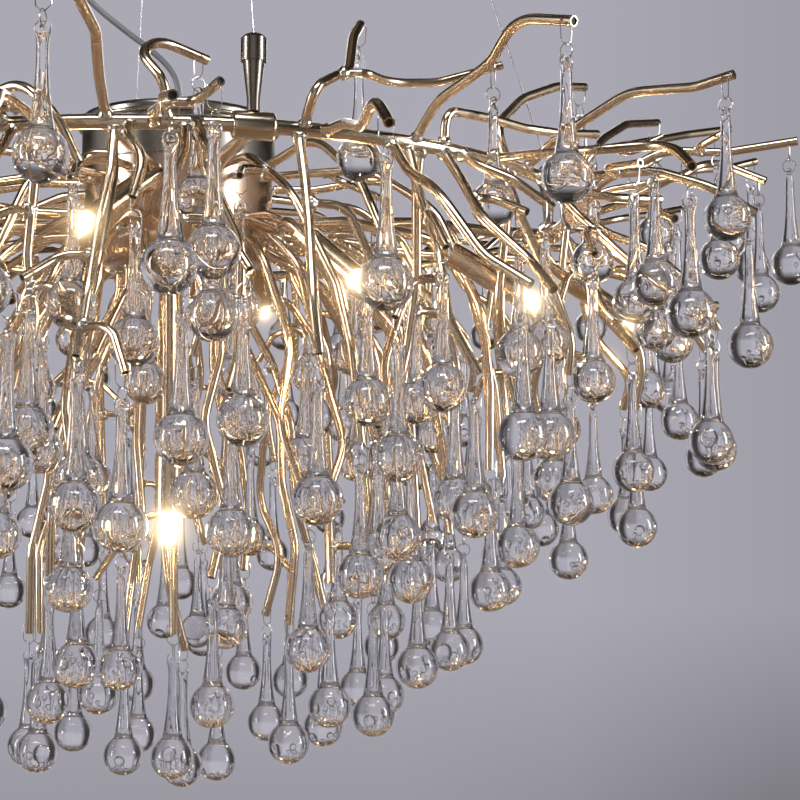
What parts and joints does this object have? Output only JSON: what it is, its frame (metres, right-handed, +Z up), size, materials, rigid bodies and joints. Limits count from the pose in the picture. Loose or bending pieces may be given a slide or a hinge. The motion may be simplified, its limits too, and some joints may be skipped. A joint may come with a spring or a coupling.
{
  "type": "branching crystal chandelier",
  "caption": "Round branching chandelier: a drum hub and a tube ring on taut wires carry wavy polished tubes, lamp sleeves and clear glass drops hung from wire hooks.",
  "frame": {"origin": "centre of the ceiling plate's top face, where it meets the ceiling", "axes": "+Z up, towards the ceiling; +X and +Y towards two of the four suspension wires"},
  "size_m": [1.2309, 1.169, 1.0865],
  "materials": {
    "polished_tube": "polished",
    "brushed_steel": "satin",
    "rose_metal": "polished",
    "champagne_metal": "satin",
    "steel_wire": "polished",
    "clear_glass": "polished",
    "bulb_glass": "gloss",
    "ceramic": "matte",
    "cord_sheath": "gloss",
    "terminal_plastic": "matte",
    "gland_nickel": "satin",
    "zinc_steel": "satin"
  },
  "bodies": {
    "frame": {"brim_branches": "polished_tube", "bulb_bases": "ceramic", "bulb_glasses": "bulb_glass", "canopy": "brushed_steel", "canopy_cord_gland": "gland_nickel", "canopy_posts": "zinc_steel", "canopy_terminal_block": "terminal_plastic", "carrier_ring": "polished_tube", "ceiling_cross_plate": "zinc_steel", "core_branches": "polished_tube", "crown_branches": "polished_tube", "drop_hooks": "steel_wire", "drop_links": "steel_wire", "fountain_branches": "polished_tube", "glass_drops": "clear_glass", "hub_cord_gland": "gland_nickel", "hub_drum": "brushed_steel", "hub_housing": "rose_metal", "hub_lid": "brushed_steel", "hub_lid_screws": "zinc_steel", "hub_partition": "zinc_steel", "hub_posts": "zinc_steel", "hub_terminal_block": "terminal_plastic", "inner_branches": "polished_tube", "lamp_arms": "polished_tube", "lamp_holders": "ceramic", "lamp_sleeves": "champagne_metal", "power_cord": "cord_sheath", "ring_knuckles": "polished_tube", "ring_spokes": "polished_tube", "shoulder_branches": "polished_tube", "skirt_branches": "polished_tube", "stem_branches": "polished_tube", "suspension_wire_1": "steel_wire", "suspension_wire_2": "steel_wire", "suspension_wire_3": "steel_wire", "suspension_wire_4": "steel_wire", "waist_branches": "polished_tube", "wire_cups": "brushed_steel", "wire_nipples": "brushed_steel"},
    "hook_1": {"swinging_hook_1": "steel_wire"},
    "drop_1": {"swinging_drop_1": "clear_glass"},
    "hook_2": {"swinging_hook_2": "steel_wire"},
    "drop_2": {"swinging_drop_2": "clear_glass"},
    "hook_3": {"swinging_hook_3": "steel_wire"},
    "drop_3": {"swinging_drop_3": "clear_glass"},
    "hook_4": {"swinging_hook_4": "steel_wire"},
    "drop_4": {"swinging_drop_4": "clear_glass"},
    "hook_5": {"swinging_hook_5": "steel_wire"},
    "drop_5": {"swinging_drop_5": "clear_glass"},
    "hook_6": {"swinging_hook_6": "steel_wire"},
    "drop_6": {"swinging_drop_6": "clear_glass"},
    "hook_7": {"swinging_hook_7": "steel_wire"},
    "drop_7": {"swinging_drop_7": "clear_glass"},
    "hook_8": {"swinging_hook_8": "steel_wire"},
    "drop_8": {"swinging_drop_8": "clear_glass"},
    "hook_9": {"swinging_hook_9": "steel_wire"},
    "drop_9": {"swinging_drop_9": "clear_glass"},
    "hook_10": {"swinging_hook_10": "steel_wire"},
    "drop_10": {"swinging_drop_10": "clear_glass"}
  },
  "joints": [
    {"name": "hook_1_swing", "type": "hinge", "parent": "frame", "child": "hook_1", "pos_m": [0.6238, 0.03087, -0.4493], "axis": [-0.2881, 0.9576, 0], "range_deg": [-12, 12]},
    {"name": "drop_1_swing", "type": "hinge", "parent": "hook_1", "child": "drop_1", "pos_m": [0.6238, 0.03087, -0.47757], "axis": [-0.9576, -0.2881, 0], "range_deg": [-12, 12]},
    {"name": "hook_2_swing", "type": "hinge", "parent": "frame", "child": "hook_2", "pos_m": [0.54477, -0.07097, -0.44186], "axis": [-0.4125, 0.9109, 0], "range_deg": [-12, 12]},
    {"name": "drop_2_swing", "type": "hinge", "parent": "hook_2", "child": "drop_2", "pos_m": [0.54477, -0.07097, -0.47012], "axis": [-0.9109, -0.4125, 0], "range_deg": [-12, 12]},
    {"name": "hook_3_swing", "type": "hinge", "parent": "frame", "child": "hook_3", "pos_m": [0.36972, 0.44858, -0.50312], "axis": [-0.6195, 0.785, 0], "range_deg": [-12, 12]},
    {"name": "drop_3_swing", "type": "hinge", "parent": "hook_3", "child": "drop_3", "pos_m": [0.36972, 0.44858, -0.53139], "axis": [-0.785, -0.6195, 0], "range_deg": [-12, 12]},
    {"name": "hook_4_swing", "type": "hinge", "parent": "frame", "child": "hook_4", "pos_m": [0.0708, 0.55997, -0.49834], "axis": [-0.9793, -0.2023, 0], "range_deg": [-12, 12]},
    {"name": "drop_4_swing", "type": "hinge", "parent": "hook_4", "child": "drop_4", "pos_m": [0.0708, 0.55997, -0.5266], "axis": [0.2023, -0.9793, 0], "range_deg": [-12, 12]},
    {"name": "hook_5_swing", "type": "hinge", "parent": "frame", "child": "hook_5", "pos_m": [-0.42194, 0.3725, -0.48375], "axis": [-0.4218, -0.9067, 0], "range_deg": [-12, 12]},
    {"name": "drop_5_swing", "type": "hinge", "parent": "hook_5", "child": "drop_5", "pos_m": [-0.42194, 0.3725, -0.51201], "axis": [0.9067, -0.4218, 0], "range_deg": [-12, 12]},
    {"name": "hook_6_swing", "type": "hinge", "parent": "frame", "child": "hook_6", "pos_m": [-0.45752, -0.32609, -0.48255], "axis": [0.7826, -0.6225, 0], "range_deg": [-12, 12]},
    {"name": "drop_6_swing", "type": "hinge", "parent": "hook_6", "child": "drop_6", "pos_m": [-0.45752, -0.32609, -0.51081], "axis": [0.6225, 0.7826, 0], "range_deg": [-12, 12]},
    {"name": "hook_7_swing", "type": "hinge", "parent": "frame", "child": "hook_7", "pos_m": [0.21794, 0.51701, -0.57949], "axis": [-0.8694, 0.4942, 0], "range_deg": [-12, 12]},
    {"name": "drop_7_swing", "type": "hinge", "parent": "hook_7", "child": "drop_7", "pos_m": [0.21794, 0.51701, -0.60776], "axis": [-0.4942, -0.8694, 0], "range_deg": [-12, 12]},
    {"name": "hook_8_swing", "type": "hinge", "parent": "frame", "child": "hook_8", "pos_m": [-0.29838, 0.4995, -0.5818], "axis": [-0.7898, -0.6134, 0], "range_deg": [-12, 12]},
    {"name": "drop_8_swing", "type": "hinge", "parent": "hook_8", "child": "drop_8", "pos_m": [-0.29838, 0.4995, -0.61006], "axis": [0.6134, -0.7898, 0], "range_deg": [-12, 12]},
    {"name": "hook_9_swing", "type": "hinge", "parent": "frame", "child": "hook_9", "pos_m": [-0.56916, -0.07083, -0.57241], "axis": [0.1629, -0.9867, 0], "range_deg": [-12, 12]},
    {"name": "drop_9_swing", "type": "hinge", "parent": "hook_9", "child": "drop_9", "pos_m": [-0.56916, -0.07083, -0.60068], "axis": [0.9867, 0.1629, 0], "range_deg": [-12, 12]},
    {"name": "hook_10_swing", "type": "hinge", "parent": "frame", "child": "hook_10", "pos_m": [-0.29343, -0.48954, -0.58127], "axis": [0.7874, -0.6164, 0], "range_deg": [-12, 12]},
    {"name": "drop_10_swing", "type": "hinge", "parent": "hook_10", "child": "drop_10", "pos_m": [-0.29343, -0.48954, -0.60954], "axis": [0.6164, 0.7874, 0], "range_deg": [-12, 12]}
  ]
}
